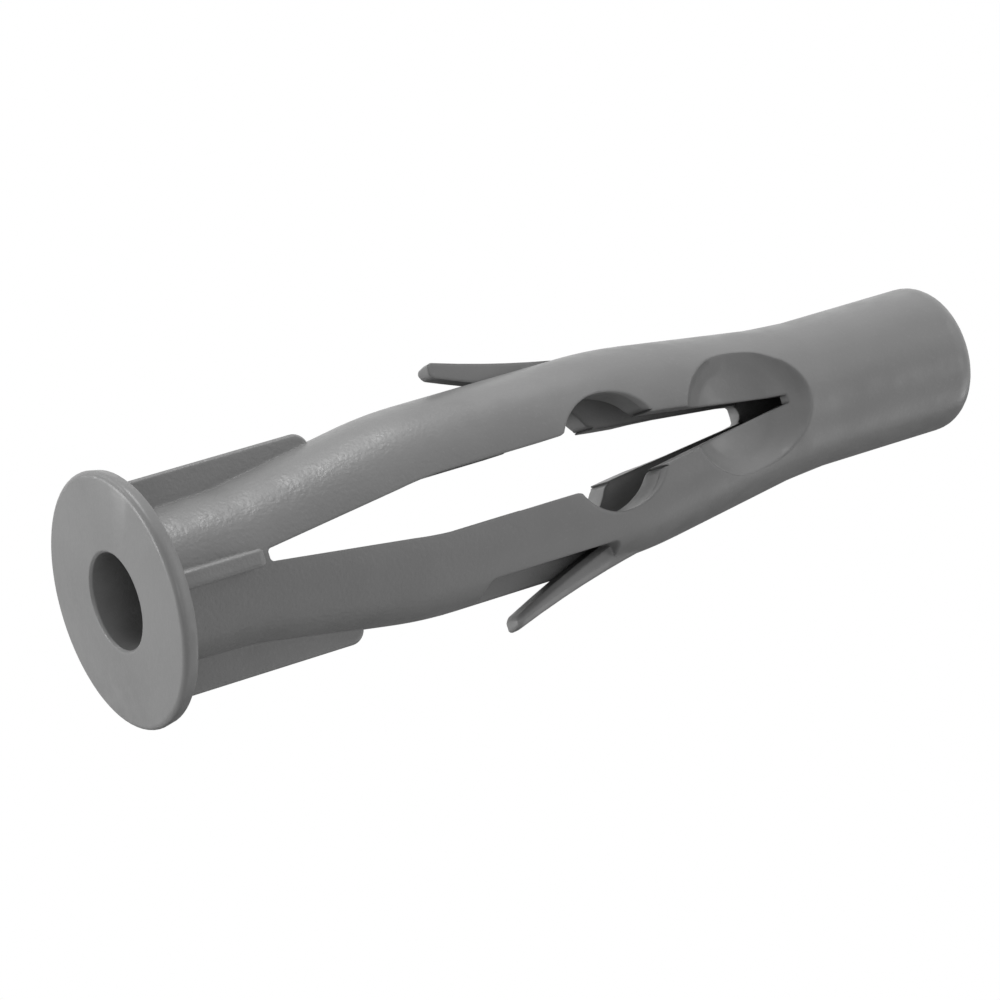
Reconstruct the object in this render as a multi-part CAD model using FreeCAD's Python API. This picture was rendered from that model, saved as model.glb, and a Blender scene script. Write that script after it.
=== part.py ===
import FreeCAD, Part
import math
import os

from FreeCAD import Base

# Wall plug with a collar, moulded in one piece of nylon.
# It stands on its collar: z = 0 is the collar's outer face, +Z runs along the plug to its tip,
# and the two expanding arms bow outward along +X and -X. All sizes are in millimetres.

# Overall sizes
PLUG_LENGTH = 51.3
TUBE_RADIUS = 4.0

# Collar, the flange that stops the plug at the wall
COLLAR_RADIUS = 6.6
COLLAR_THICKNESS = 0.9
COLLAR_FRONT_ROUND = 0.3
COLLAR_BACK_CHAMFER = 0.12
COLLAR_SIDE_DRAFT = 0.1

# Neck, the closed tube behind the collar, slimmer at the collar by its draft
NECK_TOP_Z = 6.8
NECK_ROOT_DRAFT = 0.16
NECK_STRAIGHT_LENGTH = 0.4

# Fins that stop the plug turning in its hole
FIN_HEIGHT = 1.52
FIN_THICKNESS = 0.92
FIN_EDGE_CHAMFER = 0.15
FIN_ROOT_DEPTH = 0.7
LONG_FIN_END_Z = 12.65
LONG_FIN_CORNER = 0.9
SHORT_FIN_END_Z = 5.9
SHORT_FIN_CORNER = 0.4

# Arms, two half tubes that stand apart: they leave the neck, bend, run straight, bend and meet again
ARM_BOW = 1.45
BOW_START_FLAT_Z = 16.45
BOW_END_FLAT_Z = 29.7
ARM_MEET_Z = 40.2
BEND_HALF_LENGTH = 1.6
ARM_FOOT = 0.38
SLOT_END_Z = 39.3

# Slot between the arms, square-ended on one side of the plug and round-ended on the other
SLOT_START_HALF = 0.14
SLOT_START_CORNER = 0.26
SLOT_NECK_EXTRA = 0.24
SLOT_CLEARANCE = 0.07
SLOT_SQUARE_END_HALF = 0.22
SLOT_ROUND_END_HALF = 0.5
SLOT_ROUND_END_SAG = 0.3
SLOT_ROUND_END_EXTRA = 0.2

# Bore that the screw runs in
BORE_NECK_RADIUS = 2.5
BORE_LIP_CHAMFER = 0.12
BORE_ARM_RADIUS = 2.1
BORE_NECK_TAPER_LENGTH = 2.2
BORE_TAPER_RADIUS = 2.3
BORE_TIP_RADIUS = 1.5
BORE_TIP_TAPER_LENGTH = 5.65

# Round notches in the inner edges of both arms
NOTCH_RADIUS = 2.85
NOTCH_CENTRE_X = 0.25
NOTCH_CENTRE_Z = 27.55
NOTCH_CORNER_ROUND = 0.65
NOTCH_CHAMFER_WIDTH = 0.2
NOTCH_CHAMFER_DEPTH = 0.35

# Dished pocket round the end of the slot, on both sides
POCKET_RADIUS = 3.95
POCKET_BEFORE_SLOT_END = 3.1
POCKET_FLOOR_WALL = 0.36
POCKET_FLOOR_ROUND = 1.8
POCKET_CONES = 2

# Barbs that spring out of the arms and lock the plug
BARB_TIP_Z = 20.7
BARB_ROOT_Z_PLUS_X = 29.1
BARB_ROOT_Z_MINUS_X = 27.95
BARB_SLOPE = 0.17
BARB_CURL = 0.0085
BARB_TIP_THICKNESS = 0.8
BARB_THICKENING = 0.1
BARB_WIDTH = 1.4
BARB_EDGE_CHAMFER = 0.28
BARB_EASED_SHARE = 0.35
BARB_TIP_ROUND = 0.34
BARB_SIDE_GAP = 0.06
BARB_ROOT_BURIED = 0.4
BARB_STATIONS = 6
BARB_TIP_ANGLES = (25, 50, 75, 90)

# Recesses that the barbs fold into
RECESS_FLOOR_WALL = 0.88
RECESS_LEAD = 1.75
RECESS_RUN_OUT = 0.5
RECESS_END_FROM_ROOT = 1.85
RECESS_END_ROUND = 0.4

# Plain tube at the tip, with a slight swell where the arms meet
TIP_SWELL = 0.15
TIP_SWELL_LENGTH = 3.5
TIP_FLARE_LENGTH = 2.85
TIP_DRAFT = 0.05
TIP_CORNER_ROUND = 1.45

# Margins of the cutting tools: how far they run past what they cut, and how far a trim stands off
# a surface that it follows. MATCH is how near two coordinates of one place are.
PAST = 1.0
TRIM_MARGIN = 0.02
MATCH = 0.01

# Worked out from the sizes above
NECK_ROOT_RADIUS = TUBE_RADIUS - NECK_ROOT_DRAFT
FIN_RADIUS = TUBE_RADIUS + FIN_HEIGHT
FIN_ROOT_X = NECK_ROOT_RADIUS - FIN_ROOT_DEPTH
ARM_RISE = ARM_BOW / (BOW_START_FLAT_Z - NECK_TOP_Z)
ARM_FALL = ARM_BOW / (ARM_MEET_Z - BOW_END_FLAT_Z)
BEND_1_START_Z = BOW_START_FLAT_Z - BEND_HALF_LENGTH
BEND_1_END_Z = BOW_START_FLAT_Z + BEND_HALF_LENGTH
BEND_2_START_Z = BOW_END_FLAT_Z - BEND_HALF_LENGTH
BEND_2_END_Z = BOW_END_FLAT_Z + BEND_HALF_LENGTH
ARM_SURFACE_X = TUBE_RADIUS + ARM_BOW
POCKET_CENTRE_Z = SLOT_END_Z - POCKET_BEFORE_SLOT_END
POCKET_FLOOR_Y = BORE_ARM_RADIUS + POCKET_FLOOR_WALL
RECESS_FLOOR_X = ARM_BOW + BORE_ARM_RADIUS + RECESS_FLOOR_WALL
RECESS_START_Z = BARB_TIP_Z - RECESS_LEAD
TIP_RADIUS = TUBE_RADIUS - TIP_DRAFT
TIP_STRAIGHT_START_Z = SLOT_END_Z + TIP_FLARE_LENGTH
BORE_TIP_START_Z = SLOT_END_Z + BORE_TIP_TAPER_LENGTH


def vec(x, y, z):
    return Base.Vector(x, y, z)


def line(a, b):
    return Part.makeLine(a, b)


def arc(a, middle, b):
    return Part.Arc(a, middle, b).toShape()


def corner_round(a, b):
    # A quarter round in the XZ plane, or near it, that stands off to the right as one goes from a to b.
    chord = b - a
    right = vec(chord.z, 0, -chord.x)
    return arc(a, (a + b) * 0.5 + right * (math.tan(math.pi / 8) / 2), b)


def corner_arc(centre_x, centre_z, radius, start_deg, end_deg):
    def point(deg):
        angle = math.radians(deg)
        return vec(centre_x + radius * math.cos(angle), 0, centre_z + radius * math.sin(angle))
    return arc(point(start_deg), point((start_deg + end_deg) / 2), point(end_deg))


def chain(points):
    return [line(a, b) for a, b in zip(points, points[1:])]


def face_of(edges):
    return Part.Face(Part.Wire(Part.__sortEdges__(edges)))


def revolved(edges):
    return face_of(edges).revolve(vec(0, 0, 0), vec(0, 0, 1), 360)


def turned(shape):
    copy = shape.copy()
    copy.rotate(vec(0, 0, 0), vec(0, 0, 1), 180)
    return copy


def evenly(start, end, count):
    return [start + (end - start) * i / count for i in range(count + 1)]


def smooth_ramp(distance, half_length):
    # Zero before the corner, a straight rise of slope one after it, and a parabola between.
    if distance <= -half_length:
        return 0.0
    if distance >= half_length:
        return distance
    return (distance + half_length) ** 2 / (4 * half_length)


def bow(z):
    # Outward offset of an arm's own axis from the plug's axis.
    loss_before = ARM_RISE * smooth_ramp(BOW_START_FLAT_Z - z, BEND_HALF_LENGTH)
    loss_after = ARM_FALL * smooth_ramp(z - BOW_END_FLAT_Z, BEND_HALF_LENGTH)
    return max(0.0, ARM_BOW - loss_before - loss_after)


def half_disc(centre_x, z, radius):
    low = vec(centre_x, -radius, z)
    high = vec(centre_x, radius, z)
    return Part.Wire([arc(low, vec(centre_x + radius, 0, z), high), line(high, low)])


def bent_end(bend_z, slope, way):
    # A bend towards the plug's axis and the straight stretch after it. way is 1 upward, -1 downward.
    angle = math.atan(slope)
    bend_radius = BEND_HALF_LENGTH / math.tan(angle / 2)
    section = Part.Face(half_disc(ARM_BOW, bend_z, TUBE_RADIUS))
    centre = vec(ARM_BOW - bend_radius, 0, bend_z)
    turn_deg = -way * math.degrees(angle)
    bend = section.revolve(centre, vec(0, 1, 0), turn_deg)
    section.rotate(centre, vec(0, 1, 0), turn_deg)
    reach = ARM_BOW / math.sin(angle) + PAST
    direction = vec(-math.sin(angle), 0, way * math.cos(angle))
    return bend.fuse(section.extrude(direction * reach))


def arm_slab():
    # The space of the +X arm. It starts a little inside the neck, where the arm's foot is buried.
    width = ARM_SURFACE_X + PAST
    start_z = NECK_TOP_Z - ARM_FOOT
    return Part.makeBox(width, 2 * width, ARM_MEET_Z - start_z, vec(0, -width, start_z))


def make_arm():
    # The +X arm as half a tube with its two bends, still solid inside.
    middle = Part.Face(half_disc(ARM_BOW, BEND_1_END_Z, TUBE_RADIUS))
    middle = middle.extrude(vec(0, 0, BEND_2_START_Z - BEND_1_END_Z))
    lower = bent_end(BEND_1_END_Z, ARM_RISE, -1)
    upper = bent_end(BEND_2_START_Z, ARM_FALL, 1)
    return middle.fuse([lower, upper]).common(arm_slab())


def leg_of_bore(bend_z, slope, way):
    # A straight half cylinder that leans towards the plug's axis and is mitred at the bend.
    angle = math.atan(slope)
    bend = vec(ARM_BOW, 0, bend_z)
    reach = ARM_BOW / math.sin(angle) + PAST
    section = Part.Face(half_disc(ARM_BOW, bend_z - way * PAST, BORE_ARM_RADIUS))
    leg = section.extrude(vec(0, 0, way * (reach + PAST)))
    leg.rotate(bend, vec(0, 1, 0), -way * math.degrees(angle))
    return leg.common(beyond(bend_z, angle, way))


def beyond(bend_z, angle, way):
    # Everything on the far side of the mitre plane, which lies at half of the bend's angle.
    size = 2 * PLUG_LENGTH
    corner = vec(ARM_BOW - size / 2, -size / 2, bend_z + min(0, way) * size)
    block = Part.makeBox(size, size, size, corner)
    block.rotate(vec(ARM_BOW, 0, bend_z), vec(0, 1, 0), -way * math.degrees(angle / 2))
    return block


def make_arm_bore():
    # The half of the bore that lies in the +X arm: three straight cylinders, mitred at the bends.
    rise = math.atan(ARM_RISE)
    fall = math.atan(ARM_FALL)
    middle = Part.Face(half_disc(ARM_BOW, BOW_START_FLAT_Z - PAST, BORE_ARM_RADIUS))
    middle = middle.extrude(vec(0, 0, BOW_END_FLAT_Z - BOW_START_FLAT_Z + 2 * PAST))
    middle = middle.cut(beyond(BOW_START_FLAT_Z, rise, -1)).cut(beyond(BOW_END_FLAT_Z, fall, 1))
    lower = leg_of_bore(BOW_START_FLAT_Z, ARM_RISE, -1)
    upper = leg_of_bore(BOW_END_FLAT_Z, ARM_FALL, 1)
    return middle.fuse([lower, upper]).common(arm_slab())


def make_collar_and_neck():
    front = COLLAR_FRONT_ROUND
    top = COLLAR_THICKNESS
    edges = chain([vec(0, 0, NECK_TOP_Z), vec(0, 0, 0), vec(COLLAR_RADIUS - front, 0, 0)])
    edges.append(corner_arc(COLLAR_RADIUS - front, front, front, -90, 0))
    back_radius = COLLAR_RADIUS - COLLAR_SIDE_DRAFT
    edges += chain([
        vec(COLLAR_RADIUS, 0, front),
        vec(back_radius, 0, top - COLLAR_BACK_CHAMFER),
        vec(back_radius - COLLAR_BACK_CHAMFER, 0, top),
        vec(NECK_ROOT_RADIUS, 0, top),
        vec(TUBE_RADIUS, 0, NECK_TOP_Z - NECK_STRAIGHT_LENGTH),
        vec(TUBE_RADIUS, 0, NECK_TOP_Z),
        vec(0, 0, NECK_TOP_Z),
    ])
    return revolved(edges)


def make_tip():
    shoulder_z = PLUG_LENGTH - TIP_CORNER_ROUND
    shoulder_x = TIP_RADIUS - TIP_CORNER_ROUND
    swell_z = SLOT_END_Z - TIP_SWELL_LENGTH
    edges = chain([
        vec(0, 0, swell_z),
        vec(TUBE_RADIUS, 0, swell_z),
        vec(TUBE_RADIUS + TIP_SWELL, 0, SLOT_END_Z),
        vec(TIP_RADIUS, 0, TIP_STRAIGHT_START_Z),
        vec(TIP_RADIUS, 0, shoulder_z),
    ])
    edges.append(corner_arc(shoulder_x, shoulder_z, TIP_CORNER_ROUND, 0, 90))
    edges += chain([vec(shoulder_x, 0, PLUG_LENGTH), vec(0, 0, PLUG_LENGTH), vec(0, 0, swell_z)])
    return revolved(edges)


def make_fin(profile, end_corner, end_round):
    # A flat fin on the +X side from its outline in the XZ plane, with its outer edges eased.
    points = [vec(x, -FIN_THICKNESS / 2, z) for x, z in profile]
    fin = Part.Face(Part.makePolygon(points + [points[0]])).extrude(vec(0, FIN_THICKNESS, 0))
    corner_x, corner_z = end_corner
    corner_edges = []
    for edge in fin.Edges:
        middle = edge.CenterOfMass
        if abs(middle.x - corner_x) < MATCH and abs(middle.z - corner_z) < MATCH:
            corner_edges.append(edge)
    fin = fin.makeFillet(end_round, corner_edges)
    outer_edges = []
    for edge in fin.Edges:
        middle = edge.CenterOfMass
        lengthwise = abs(edge.Vertexes[0].Point.y - edge.Vertexes[-1].Point.y) < MATCH
        if lengthwise and middle.x > corner_x - end_round and middle.z > COLLAR_THICKNESS:
            outer_edges.append(edge)
    return fin.makeChamfer(FIN_EDGE_CHAMFER, outer_edges)


def make_fins():
    sunk_z = COLLAR_THICKNESS / 2
    foot = [(FIN_ROOT_X, sunk_z), (FIN_RADIUS, sunk_z)]
    long_corner = (FIN_RADIUS, LONG_FIN_END_Z)
    long_root = [(FIN_ROOT_X + bow(LONG_FIN_END_Z), LONG_FIN_END_Z), (FIN_ROOT_X, NECK_TOP_Z)]
    long_fin = make_fin(foot + [long_corner] + long_root, long_corner, LONG_FIN_CORNER)
    short_corner = (FIN_RADIUS, SHORT_FIN_END_Z)
    short_root = [(FIN_ROOT_X, SHORT_FIN_END_Z)]
    short_fin = make_fin(foot + [short_corner] + short_root, short_corner, SHORT_FIN_CORNER)
    short_fin.rotate(vec(0, 0, 0), vec(0, 0, 1), 90)
    return [long_fin, turned(long_fin), short_fin, turned(short_fin)]


def slot_edge(z):
    # The arms' inner edges follow their bow. Between the neck and the first bend the slot is wider.
    share = max(0.0, (BEND_1_START_Z - z) / (BEND_1_START_Z - NECK_TOP_Z))
    return vec(bow(z) + SLOT_CLEARANCE + SLOT_NECK_EXTRA * share, 0, z)


def slot_side(end):
    # Half of the slot's outline in the XZ plane, from its start at the neck to its end near the tip.
    start = vec(SLOT_START_HALF, 0, NECK_TOP_Z)
    corner = slot_edge(NECK_TOP_Z + SLOT_START_CORNER)
    bend_1 = [slot_edge(z) for z in (BEND_1_START_Z, BOW_START_FLAT_Z, BEND_1_END_Z)]
    bend_2 = [slot_edge(z) for z in (BEND_2_START_Z, BOW_END_FLAT_Z, BEND_2_END_Z)]
    return [
        corner_round(start, corner),
        line(corner, bend_1[0]),
        arc(*bend_1),
        line(bend_1[-1], bend_2[0]),
        arc(*bend_2),
        line(bend_2[-1], end),
    ]


def make_slot_half(end, mirror_end, cap, direction):
    start_line = line(vec(-SLOT_START_HALF, 0, NECK_TOP_Z), vec(SLOT_START_HALF, 0, NECK_TOP_Z))
    side = slot_side(end)
    other_side = [edge.mirror(vec(0, 0, 0), vec(1, 0, 0)) for edge in side]
    outline = face_of(side + other_side + [cap, start_line])
    return outline.extrude(vec(0, direction * (TUBE_RADIUS + PAST), 0))


def make_slot():
    square_end = vec(SLOT_SQUARE_END_HALF, 0, SLOT_END_Z)
    square_mirror = vec(-SLOT_SQUARE_END_HALF, 0, SLOT_END_Z)
    square_cap = line(square_end, square_mirror)
    round_top_z = SLOT_END_Z + SLOT_ROUND_END_EXTRA
    round_end = vec(SLOT_ROUND_END_HALF, 0, round_top_z - SLOT_ROUND_END_SAG)
    round_mirror = vec(-SLOT_ROUND_END_HALF, 0, round_top_z - SLOT_ROUND_END_SAG)
    round_cap = arc(round_end, vec(0, 0, round_top_z), round_mirror)
    return [
        make_slot_half(square_end, square_mirror, square_cap, -1),
        make_slot_half(round_end, round_mirror, round_cap, 1),
    ]


def make_bore_ends():
    # The tip's taper starts wider than the arms' bore, so that both arms' ends run out inside it.
    lip_r = BORE_NECK_RADIUS + BORE_LIP_CHAMFER
    taper_end_z = NECK_TOP_Z + BORE_NECK_TAPER_LENGTH
    neck_edges = chain([
        vec(0, 0, taper_end_z),
        vec(0, 0, -PAST),
        vec(lip_r, 0, -PAST),
        vec(lip_r, 0, 0),
        vec(BORE_NECK_RADIUS, 0, BORE_LIP_CHAMFER),
        vec(BORE_NECK_RADIUS, 0, NECK_TOP_Z),
        vec(BORE_ARM_RADIUS, 0, taper_end_z),
        vec(0, 0, taper_end_z),
    ])
    tip_edges = chain([
        vec(0, 0, SLOT_END_Z),
        vec(BORE_TAPER_RADIUS, 0, SLOT_END_Z),
        vec(BORE_TIP_RADIUS, 0, BORE_TIP_START_Z),
        vec(BORE_TIP_RADIUS, 0, PLUG_LENGTH + PAST),
        vec(0, 0, PLUG_LENGTH + PAST),
        vec(0, 0, SLOT_END_Z),
    ])
    return [revolved(neck_edges), revolved(tip_edges), bore_web()]


def bore_web():
    # The two arms' bores would leave a thin web between them just before the slot's end.
    width = 2 * SLOT_SQUARE_END_HALF
    depth = 2 * BORE_TAPER_RADIUS - TRIM_MARGIN
    corner = vec(-width / 2, -depth / 2, SLOT_END_Z - PAST)
    return Part.makeBox(width, depth, PAST + SLOT_ROUND_END_EXTRA, corner)


def make_notches():
    # A round hole through both walls in each arm's edge, chamfered outside on the side of the tip.
    reach = TUBE_RADIUS + PAST
    chamfer_start = TUBE_RADIUS - NOTCH_CHAMFER_DEPTH
    shift = NOTCH_CHAMFER_WIDTH / 2
    small = NOTCH_RADIUS - shift
    large = small + (reach - chamfer_start) * NOTCH_CHAMFER_WIDTH / NOTCH_CHAMFER_DEPTH
    cutters = []
    for side in (1, -1):
        hole_base = vec(side * NOTCH_CENTRE_X, -reach, NOTCH_CENTRE_Z)
        cutters.append(Part.makeCylinder(NOTCH_RADIUS, 2 * reach, hole_base, vec(0, 1, 0)))
        for wall in (1, -1):
            x = side * (NOTCH_CENTRE_X + shift)
            cone_base = vec(x, wall * chamfer_start, NOTCH_CENTRE_Z + shift)
            height = reach - chamfer_start
            cutters.append(Part.makeCone(small, large, height, cone_base, vec(0, wall, 0)))
        for way in (1, -1):
            cutters.append(notch_corner(side, way))
    return cutters


def notch_corner(side, way):
    # Rounds the corner where a notch runs into the slot's straight edge. way is 1 above the notch,
    # -1 below it.
    edge_x = ARM_BOW + SLOT_CLEARANCE
    span = NOTCH_RADIUS + NOTCH_CORNER_ROUND
    round_dx = edge_x + NOTCH_CORNER_ROUND - NOTCH_CENTRE_X
    round_dz = math.sqrt(span ** 2 - round_dx ** 2)
    turn = math.atan2(round_dz, round_dx)
    centre_x = NOTCH_CENTRE_X + round_dx
    centre_z = NOTCH_CENTRE_Z + way * round_dz

    def on_round(angle):
        x = centre_x + NOTCH_CORNER_ROUND * math.cos(angle)
        return vec(side * x, -TUBE_RADIUS - PAST, centre_z + way * NOTCH_CORNER_ROUND * math.sin(angle))

    start = on_round(math.pi)
    end = on_round(math.pi + turn)
    middle = vec(side * NOTCH_CENTRE_X, -TUBE_RADIUS - PAST, NOTCH_CENTRE_Z)
    edges = [arc(start, on_round(math.pi + turn / 2), end), line(end, middle), line(middle, start)]
    return face_of(edges).extrude(vec(0, 2 * (TUBE_RADIUS + PAST), 0))


def make_pocket():
    # A dish turned about an axis along Y. Between its flat floor and its wall two cones stand in for
    # a round, because they mesh far more lightly.
    flat = POCKET_RADIUS - POCKET_FLOOR_ROUND
    top_y = TUBE_RADIUS + 2 * PAST
    points = [vec(0, POCKET_FLOOR_Y, 0), vec(flat, POCKET_FLOOR_Y, 0)]
    turn = math.pi / 2 / (POCKET_CONES + 1)
    leg = POCKET_FLOOR_ROUND / sum(math.cos(turn * (i + 1)) for i in range(POCKET_CONES))
    for i in range(POCKET_CONES):
        angle = turn * (i + 1)
        points.append(points[-1] + vec(leg * math.cos(angle), leg * math.sin(angle), 0))
    points += [vec(POCKET_RADIUS, top_y, 0), vec(0, top_y, 0), points[0]]
    dish = face_of(chain(points)).revolve(vec(0, 0, 0), vec(0, 1, 0), 360)
    dish.translate(vec(0, 0, POCKET_CENTRE_Z))
    return dish


def barb_lift(z, root_z):
    # How far the barb stands off the arm's own surface at height z, and how far it dives past its root.
    reach = root_z - z
    return BARB_SLOPE * reach + BARB_CURL * max(0.0, reach) ** 2


def barb_thickness(z):
    return BARB_TIP_THICKNESS + BARB_THICKENING * (z - BARB_TIP_Z)


def make_recess(root_z):
    # Cut in the -Y half of the +X arm, open to the outside, with a sloping start and a rounded end.
    end_z = root_z - RECESS_END_FROM_ROOT
    outside_x = ARM_SURFACE_X + PAST
    floor_start = vec(RECESS_FLOOR_X, 0, RECESS_START_Z + RECESS_RUN_OUT)
    start = vec(ARM_SURFACE_X, 0, RECESS_START_Z)
    round_x = RECESS_FLOOR_X + RECESS_END_ROUND
    round_z = end_z - RECESS_END_ROUND
    edges = chain([start, vec(outside_x, 0, RECESS_START_Z), vec(outside_x, 0, end_z), vec(round_x, 0, end_z)])
    edges.append(corner_arc(round_x, round_z, RECESS_END_ROUND, 90, 180))
    edges.append(line(vec(RECESS_FLOOR_X, 0, round_z), floor_start))
    edges.append(corner_round(floor_start, start))
    return face_of(edges).extrude(vec(0, -TUBE_RADIUS, 0))


def barb_section(z, root_z, inset):
    # The barb cut across at height z: flat beside the other half of the arm, eased along its free side,
    # and outside as round as the arm. inset draws its free sides in, which rounds the tip.
    lift = barb_lift(z, root_z)
    inner_x = ARM_SURFACE_X + lift - barb_thickness(z) + inset
    width = BARB_WIDTH - inset

    def outer(y):
        return vec(ARM_BOW + lift + math.sqrt(TUBE_RADIUS ** 2 - y ** 2) - inset, -y, z)

    side_x = outer(width).x
    ease = min(BARB_EDGE_CHAMFER, BARB_EASED_SHARE * (side_x - inner_x))
    points = [
        vec(inner_x, -BARB_SIDE_GAP, z),
        vec(inner_x, ease - width, z),
        vec(inner_x + ease, -width, z),
        vec(side_x - ease, -width, z),
        outer(width - ease),
        outer((width - ease) / 2),
        outer(BARB_SIDE_GAP),
    ]
    return Part.makePolygon(points + [points[0]])


def make_barb(root_z):
    # A narrow tongue on the -Y half of the +X arm, bent outward from its root, with a rounded tip.
    tip = []
    for deg in BARB_TIP_ANGLES:
        rise = BARB_TIP_ROUND * (1 - math.cos(math.radians(deg)))
        inset = BARB_TIP_ROUND * (1 - math.sin(math.radians(deg)))
        tip.append(barb_section(BARB_TIP_Z + rise, root_z, inset))
    body = []
    for z in evenly(BARB_TIP_Z + BARB_TIP_ROUND, root_z + BARB_ROOT_BURIED, BARB_STATIONS):
        body.append(barb_section(z, root_z, 0))
    return Part.makeLoft(tip, True, True).fuse(Part.makeLoft(body, True, False))


def make_plug():
    arm = make_arm()
    arm_bore = make_arm_bore()
    pocket = make_pocket()
    body = make_collar_and_neck().fuse([arm, turned(arm), make_tip()])
    body = body.fuse(make_fins())
    cutters = make_bore_ends() + [arm_bore, turned(arm_bore)] + make_slot() + make_notches()
    cutters += [pocket, turned(pocket)]
    cutters += [make_recess(BARB_ROOT_Z_PLUS_X), turned(make_recess(BARB_ROOT_Z_MINUS_X))]
    for cutter in cutters:
        body = body.cut(cutter)
    body = body.fuse([make_barb(BARB_ROOT_Z_PLUS_X), turned(make_barb(BARB_ROOT_Z_MINUS_X))])
    return body.removeSplitter()


def main():
    os.makedirs("parts", exist_ok=True)
    plug = make_plug()
    print("solids", len(plug.Solids), "valid", plug.isValid(), "volume", round(plug.Volume, 2))
    plug.Solids[0].exportStep("parts/wall_plug.step")


main()
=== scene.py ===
"""Looks for the wall plug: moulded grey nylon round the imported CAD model."""

import math

import bmesh
import bpy
from mathutils import Matrix, Vector


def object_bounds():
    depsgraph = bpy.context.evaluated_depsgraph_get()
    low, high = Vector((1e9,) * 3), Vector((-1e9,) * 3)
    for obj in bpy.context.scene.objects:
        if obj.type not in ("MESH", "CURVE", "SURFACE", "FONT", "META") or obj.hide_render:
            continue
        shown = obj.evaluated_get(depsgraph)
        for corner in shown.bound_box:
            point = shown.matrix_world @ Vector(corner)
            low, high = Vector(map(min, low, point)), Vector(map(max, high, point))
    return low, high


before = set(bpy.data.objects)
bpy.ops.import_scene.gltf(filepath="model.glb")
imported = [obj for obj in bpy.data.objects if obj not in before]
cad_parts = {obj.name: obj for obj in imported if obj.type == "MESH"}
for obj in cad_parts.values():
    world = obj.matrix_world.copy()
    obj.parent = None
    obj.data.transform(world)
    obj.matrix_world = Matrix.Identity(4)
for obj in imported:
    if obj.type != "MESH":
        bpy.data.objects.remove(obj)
cad_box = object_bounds()

MM = 0.001
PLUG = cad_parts["wall_plug"]

# The photograph's camera, worked out from the plug's outline in it
CAMERA_PLACE_MM = (0.70, -221.96, -106.13)
CAMERA_ELEVATION = -30.10
CAMERA_ROLL = 73.065
LENS_MM = 180.0
SENSOR_MM = 36.0
NEAREST_MM = 10.0
FARTHEST_MM = 10000.0

# Shading of the CAD faces: corners sharper than the crease angle stay sharp
WELD_MM = 0.002
CREASE_ANGLE = 32.0

# How many octaves the noises have
SOFT_DETAIL = 2.0
FINE_DETAIL = 3.0

# Colour of the nylon, as plain grey levels, with clouds and light flecks; a lighter grey on the
# edges, partly wear and partly painted highlight, and a near-black painted shade in the hollows
GREY_DEEP = 0.190
GREY_LIGHT = 0.214
GREY_FLECK = 0.245
GREY_WORN_AND_HIGHLIT = 0.33
GREY_PAINTED_SHADE = 0.02
CLOUD_PER_MM = 0.13
CLOUD_FROM = 0.35
CLOUD_TO = 0.65
FLECK_PER_MM = 5.5
FLECK_FROM = 0.60
FLECK_TO = 0.70
FLECK_SHARE = 0.25

# Gloss, in patches
ROUGHNESS_SMOOTH = 0.34
ROUGHNESS_DULL = 0.47
ROUGHNESS_PER_MM = 0.9
ROUGHNESS_FROM = 0.3
ROUGHNESS_TO = 0.7
ROUGHNESS_WORN = 0.12
SPECULAR = 0.4

# Relief in mm: moulding grain, coarsest near the collar, soft unevenness, flow lines along the plug
# and the mould's parting line
GRAIN_PER_MM = 4.5
GRAIN_HEIGHT_MM = 0.032
GRAIN_COARSE_TO_MM = 10.0
GRAIN_FINE_FROM_MM = 24.0
GRAIN_FINE = 0.22
UNEVEN_PER_MM = 0.8
UNEVEN_HEIGHT_MM = 0.008
FLOW_PER_MM = 1.8
FLOW_STRETCH = 0.07
FLOW_HEIGHT_MM = 0.008
PARTING_HALF_WIDTH_MM = 0.07
PARTING_HEIGHT_MM = 0.025

# The collar ends and the arms' rounder, grainier surface begins between these heights
COLLAR_TOP_MM = 1.0
NECK_FROM_MM = 2.0

# Soft moulded edges, and the lighter colour on them: partly wear and partly painted highlight
COLLAR_EDGE_MM = 0.13
ARM_EDGE_MM = 0.24
EDGE_SAMPLES = 6
WEAR_REACH_MM = 0.32
WEAR_SAMPLES = 8
WEAR_FROM = 0.35
WEAR_TO = 0.75
WEAR_AND_HIGHLIGHT_SHARE = 0.60
WEAR_PATCH_PER_MM = 0.6
WEAR_PATCH_FROM = 0.3
WEAR_PATCH_TO = 0.7
WEAR_PATCH_LEAST = 0.25

# Painted shade: the colour is darker in the hollows, deep in the bore, slot and corners, where
# shade falls
HOLLOW_REACH_MM = 6.0
HOLLOW_SAMPLES = 8
HOLLOW_DEEP = 0.05
HOLLOW_OPEN = 0.38
PAINTED_SHADE_SHARE = 0.95

# Floor: a pale disc that fades into the white background
FLOOR_RADIUS_MM = 160.0
FLOOR_FADE_MM = 60.0
FLOOR_DROP_MM = 0.02
FLOOR_CORNERS = 96
GREY_FLOOR = 0.92
FLOOR_LIFT = 0.38

# Dark card behind the +X arm, which only reflections see: it keeps that arm's outline from glaring
CARD_DIRECTION = (0.55, 0.72, 0.42)
CARD_DISTANCE_MM = 160.0
CARD_SIZE_MM = 240.0
GREY_CARD = 0.15

# Lamps: direction from the plug's middle, and power in watts
LAMP_DISTANCE_MM = 260.0
LAMP_SIZE_MM = 100.0
LAMPS = {
    "key": ((-0.98, -0.15, 0.13), 0.432),
    "key_low": ((-0.85, 0.30, -0.43), 0.125),
    "front": ((0.13, -0.95, -0.28), 0.102),
    "collar_back": ((-0.24, 0.50, -0.83), 0.30),
    "collar_front": ((-0.15, -0.50, -0.86), 0.06),
    "over_left": ((-0.25, -0.49, 0.83), 0.06),
    "over_right": ((0.27, -0.58, 0.77), 0.08),
    "side": ((0.60, -0.02, 0.80), 0.08),
}
AMBIENT = 0.25


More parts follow.
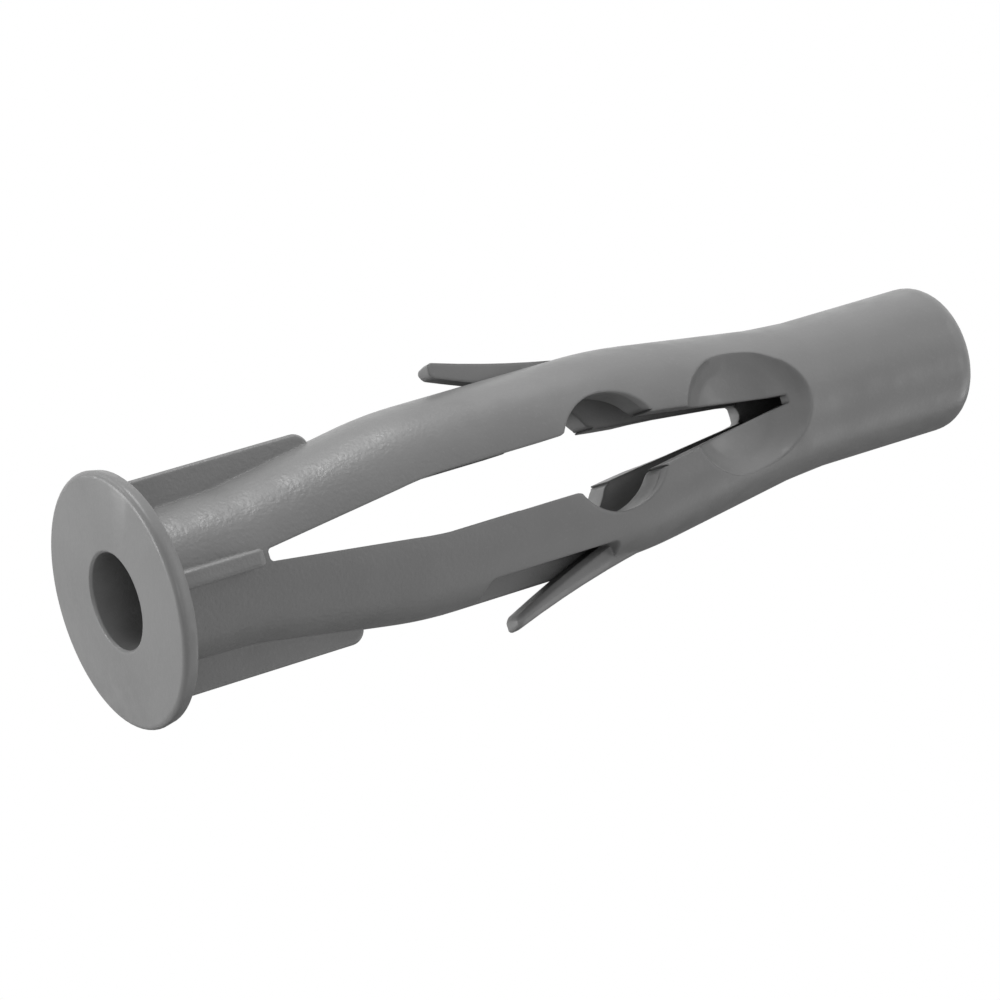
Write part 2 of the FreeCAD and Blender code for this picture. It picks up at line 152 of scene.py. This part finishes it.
def smooth_modifiers(thing):
    """Joins the CAD faces' vertices and shades smooth between the creases."""
    for polygon in thing.data.polygons:
        polygon.use_smooth = True
    weld = thing.modifiers.new("weld", "WELD")
    weld.merge_threshold = WELD_MM * MM
    split = thing.modifiers.new("creases", "EDGE_SPLIT")
    split.split_angle = math.radians(CREASE_ANGLE)
    split.use_edge_sharp = False


def new_material(name):
    """A material and its node tree, with a Principled BSDF in it."""
    material = bpy.data.materials.new(name)
    material.use_nodes = True
    return material, material.node_tree


def set_input(tree, socket, value):
    """Links the socket to another socket, or sets it to a plain value."""
    if isinstance(value, bpy.types.NodeSocket):
        tree.links.new(value, socket)
    else:
        socket.default_value = value


def add(tree, kind, values=None, **settings):
    """Adds a node, sets its settings, and sets or links its inputs."""
    node = tree.nodes.new("ShaderNode" + kind)
    for name, value in settings.items():
        setattr(node, name, value)
    for name, value in (values or {}).items():
        set_input(tree, node.inputs[name], value)
    return node


def math_node(tree, operation, *values):
    return add(tree, "Math", dict(enumerate(values)), operation=operation).outputs[0]


def noise(tree, place, per_mm, detail=SOFT_DETAIL):
    values = {"Vector": place, "Scale": per_mm, "Detail": detail}
    return add(tree, "TexNoise", values).outputs[0]


def ramp(tree, value, low, high, to_low=0.0, to_high=1.0):
    """Carries low..high smoothly over to to_low..to_high, and stays level outside."""
    ends = {"Value": value, "From Min": low, "From Max": high, "To Min": to_low, "To Max": to_high}
    return add(tree, "MapRange", ends, interpolation_type="SMOOTHSTEP").outputs["Result"]


def grey(level):
    return (level, level, level, 1.0)


def blend(tree, share, first, second):
    """Mixes two colours. The Mix node's colour sockets share their names, so they go by number."""
    return add(tree, "Mix", {0: share, 6: first, 7: second}, data_type="RGBA").outputs[2]


def worn_and_highlit_edges(tree, place):
    """1 on outer edges, in patches, and 0 on the faces: where the colour is lightened, partly as
    wear and partly as painted highlight.
    """
    inside = add(tree, "AmbientOcclusion", {"Distance": WEAR_REACH_MM * MM},
                 samples=WEAR_SAMPLES, inside=True, only_local=True)
    edge = math_node(tree, "SUBTRACT", 1.0, inside.outputs["AO"])
    edge = ramp(tree, edge, WEAR_FROM, WEAR_TO)
    patches = noise(tree, place, WEAR_PATCH_PER_MM)
    patches = ramp(tree, patches, WEAR_PATCH_FROM, WEAR_PATCH_TO, WEAR_PATCH_LEAST, 1.0)
    return math_node(tree, "MULTIPLY", edge, patches)


def painted_shade_in_hollows(tree):
    """Painted shade: 1 deep in the bore, slot and corners, and 0 on open faces."""
    around = add(tree, "AmbientOcclusion", {"Distance": HOLLOW_REACH_MM * MM},
                 samples=HOLLOW_SAMPLES, only_local=True)
    return ramp(tree, around.outputs["AO"], HOLLOW_DEEP, HOLLOW_OPEN, 1.0, 0.0)


def nylon_colour(tree, place, wear_and_highlight):
    cloud = ramp(tree, noise(tree, place, CLOUD_PER_MM, FINE_DETAIL), CLOUD_FROM, CLOUD_TO)
    fleck = ramp(tree, noise(tree, place, FLECK_PER_MM), FLECK_FROM, FLECK_TO, 0.0, FLECK_SHARE)
    # The edges are lightened partly by wear and partly as painted highlight
    wear_and_highlight_share = math_node(tree, "MULTIPLY", wear_and_highlight, WEAR_AND_HIGHLIGHT_SHARE)
    # Painted shade: the hollows are darkened towards near-black
    painted_shade = math_node(tree, "MULTIPLY", painted_shade_in_hollows(tree), PAINTED_SHADE_SHARE)
    colour = blend(tree, cloud, grey(GREY_DEEP), grey(GREY_LIGHT))
    for share, level in ((fleck, GREY_FLECK), (wear_and_highlight_share, GREY_WORN_AND_HIGHLIT), (painted_shade, GREY_PAINTED_SHADE)):
        colour = blend(tree, share, colour, grey(level))
    return colour


def nylon_roughness(tree, place, wear_and_highlight):
    patches = noise(tree, place, ROUGHNESS_PER_MM)
    patches = ramp(tree, patches, ROUGHNESS_FROM, ROUGHNESS_TO, ROUGHNESS_SMOOTH, ROUGHNESS_DULL)
    return math_node(tree, "MULTIPLY_ADD", wear_and_highlight, ROUGHNESS_WORN, patches)


def grain(tree, place, height):
    """Moulding grain: fine on the collar, coarse on the neck, and fine again towards the tip."""
    off_collar = ramp(tree, height, COLLAR_TOP_MM, NECK_FROM_MM, GRAIN_FINE, 1.0)
    off_tip = ramp(tree, height, GRAIN_COARSE_TO_MM, GRAIN_FINE_FROM_MM, 1.0, GRAIN_FINE)
    share = math_node(tree, "MULTIPLY", off_tip, off_collar)
    return math_node(tree, "MULTIPLY", noise(tree, place, GRAIN_PER_MM, FINE_DETAIL), share)


def parting_line(tree, across, height):
    """1 along the line where the mould's halves met, above the collar."""
    line = ramp(tree, math_node(tree, "ABSOLUTE", across), 0.0, PARTING_HALF_WIDTH_MM, 1.0, 0.0)
    above = math_node(tree, "GREATER_THAN", height, COLLAR_TOP_MM)
    return math_node(tree, "MULTIPLY", line, above)


def relief(tree, place, across, height):
    """Height of the surface's fine relief, in mm."""
    stretch = {"Vector": place, "Scale": (1.0, 1.0, FLOW_STRETCH)}
    stretched = add(tree, "Mapping", stretch).outputs[0]
    layers = (
        (grain(tree, place, height), GRAIN_HEIGHT_MM),
        (noise(tree, place, UNEVEN_PER_MM), UNEVEN_HEIGHT_MM),
        (noise(tree, stretched, FLOW_PER_MM), FLOW_HEIGHT_MM),
        (parting_line(tree, across, height), PARTING_HEIGHT_MM),
    )
    total = 0.0
    for layer, layer_height in layers:
        total = math_node(tree, "MULTIPLY_ADD", layer, layer_height, total)
    return total


def nylon_normal(tree, place):
    """Rounded edges, rounder on the arms and fins than on the collar, under the relief."""
    parts = add(tree, "SeparateXYZ", {"Vector": place}).outputs
    across, height = parts["Y"], parts["Z"]
    radius = ramp(tree, height, COLLAR_TOP_MM, NECK_FROM_MM, COLLAR_EDGE_MM * MM, ARM_EDGE_MM * MM)
    edges = add(tree, "Bevel", {"Radius": radius}, samples=EDGE_SAMPLES).outputs["Normal"]
    bump = {"Height": relief(tree, place, across, height), "Distance": MM, "Strength": 1.0,
            "Normal": edges}
    return add(tree, "Bump", bump).outputs["Normal"]


def nylon():
    """Moulded grey nylon: cloudy colour, fine grain, soft edges lightened partly by wear and partly
    as painted highlight, and painted shade in the hollows.
    """
    material, tree = new_material("moulded_grey_nylon")
    shader = tree.nodes["Principled BSDF"]
    where = add(tree, "TexCoord").outputs["Object"]
    place = add(tree, "VectorMath", {0: where, "Scale": 1 / MM}, operation="SCALE").outputs[0]
    wear_and_highlight = worn_and_highlit_edges(tree, place)
    set_input(tree, shader.inputs["Base Color"], nylon_colour(tree, place, wear_and_highlight))
    set_input(tree, shader.inputs["Roughness"], nylon_roughness(tree, place, wear_and_highlight))
    set_input(tree, shader.inputs["Normal"], nylon_normal(tree, place))
    shader.inputs["Specular IOR Level"].default_value = SPECULAR
    return material


def floor_material():
    """Pale floor that only a camera above it sees, with the plug's shadow, fading out to white."""
    material, tree = new_material("pale_floor")
    tree.nodes.remove(tree.nodes["Principled BSDF"])
    camera = add(tree, "LightPath").outputs["Is Camera Ray"]
    back = add(tree, "NewGeometry").outputs["Backfacing"]
    front = math_node(tree, "SUBTRACT", 1.0, back)
    where = add(tree, "TexCoord").outputs["Object"]
    radius = add(tree, "VectorMath", {0: where}, operation="LENGTH").outputs["Value"]
    fade = ramp(tree, radius, FLOOR_FADE_MM * MM, FLOOR_RADIUS_MM * MM, 1.0, 0.0)
    shown = math_node(tree, "MULTIPLY", math_node(tree, "MULTIPLY", camera, front), fade)
    clear = add(tree, "BsdfTransparent").outputs[0]
    pale = add(tree, "BsdfDiffuse", {"Color": grey(GREY_FLOOR)}).outputs[0]
    lift = add(tree, "Emission", {"Strength": FLOOR_LIFT}).outputs[0]
    lifted = add(tree, "AddShader", {0: pale, 1: lift}).outputs[0]
    mix = add(tree, "MixShader", {0: shown, 1: clear, 2: lifted}).outputs[0]
    set_input(tree, tree.nodes["Material Output"].inputs["Surface"], mix)
    return material


def card_material():
    material, tree = new_material("dark_card")
    shader = tree.nodes["Principled BSDF"]
    shader.inputs["Base Color"].default_value = grey(GREY_CARD)
    shader.inputs["Specular IOR Level"].default_value = 0.0
    return material


def add_object(name, data):
    thing = bpy.data.objects.new(name, data)
    bpy.context.scene.collection.objects.link(thing)
    return thing


def add_flat(name, shape, material):
    """Adds a flat thing from a bmesh, with one material."""
    mesh = bpy.data.meshes.new(name)
    shape.to_mesh(mesh)
    shape.free()
    mesh.materials.append(material)
    return add_object(name, mesh)


def place_towards(thing, direction, distance_mm):
    """Puts a thing in a direction from the plug's middle, facing it."""
    lowest, highest = cad_box
    middle = (Vector(lowest) + Vector(highest)) / 2
    towards = Vector(direction).normalized()
    thing.location = middle + towards * distance_mm * MM
    thing.rotation_mode = "QUATERNION"
    thing.rotation_quaternion = (-towards).to_track_quat("-Z", "Y")


def make_floor():
    disc = bmesh.new()
    radius = FLOOR_RADIUS_MM * MM
    bmesh.ops.create_circle(disc, cap_ends=True, segments=FLOOR_CORNERS, radius=radius)
    floor = add_flat("floor", disc, floor_material())
    floor.location.z = -FLOOR_DROP_MM * MM


def make_card():
    sheet = bmesh.new()
    bmesh.ops.create_grid(sheet, x_segments=1, y_segments=1, size=CARD_SIZE_MM * MM / 2)
    card = add_flat("dark_card", sheet, card_material())
    place_towards(card, CARD_DIRECTION, CARD_DISTANCE_MM)
    for seen_by in ("camera", "diffuse", "shadow", "transmission", "volume_scatter"):
        setattr(card, "visible_" + seen_by, False)


def make_lamps():
    for name, (direction, power) in LAMPS.items():
        data = bpy.data.lights.new(name, "AREA")
        data.shape = "DISK"
        data.size = LAMP_SIZE_MM * MM
        data.energy = power
        place_towards(add_object(name, data), direction, LAMP_DISTANCE_MM)


def make_world():
    """White to the eye and in reflections, and a weak even light on the plug."""
    world = bpy.data.worlds.new("world")
    bpy.context.scene.world = world
    world.use_nodes = True
    tree = world.node_tree
    path = add(tree, "LightPath").outputs
    seen = math_node(tree, "MAXIMUM", path["Is Camera Ray"], path["Is Glossy Ray"])
    seen = math_node(tree, "MAXIMUM", seen, path["Is Transmission Ray"])
    level = add(tree, "MapRange", {"Value": seen, "To Min": AMBIENT, "To Max": 1.0})
    background = tree.nodes["Background"]
    background.inputs["Color"].default_value = grey(1.0)
    set_input(tree, background.inputs["Strength"], level.outputs["Result"])


def make_camera():
    data = bpy.data.cameras.new("camera")
    data.lens = LENS_MM
    data.sensor_width = SENSOR_MM
    data.clip_start = NEAREST_MM * MM
    data.clip_end = FARTHEST_MM * MM
    camera = add_object("camera", data)
    camera.location = Vector(CAMERA_PLACE_MM) * MM
    tilt = Matrix.Rotation(math.radians(90 - CAMERA_ELEVATION), 4, "X")
    roll = Matrix.Rotation(math.radians(CAMERA_ROLL), 4, "Z")
    camera.rotation_mode = "QUATERNION"
    camera.rotation_quaternion = (tilt @ roll).to_quaternion()
    bpy.context.scene.camera = camera


smooth_modifiers(PLUG)
PLUG.data.materials.clear()
PLUG.data.materials.append(nylon())
make_floor()
make_card()
make_lamps()
make_world()
make_camera()
bpy.context.scene.view_settings.view_transform = "Standard"
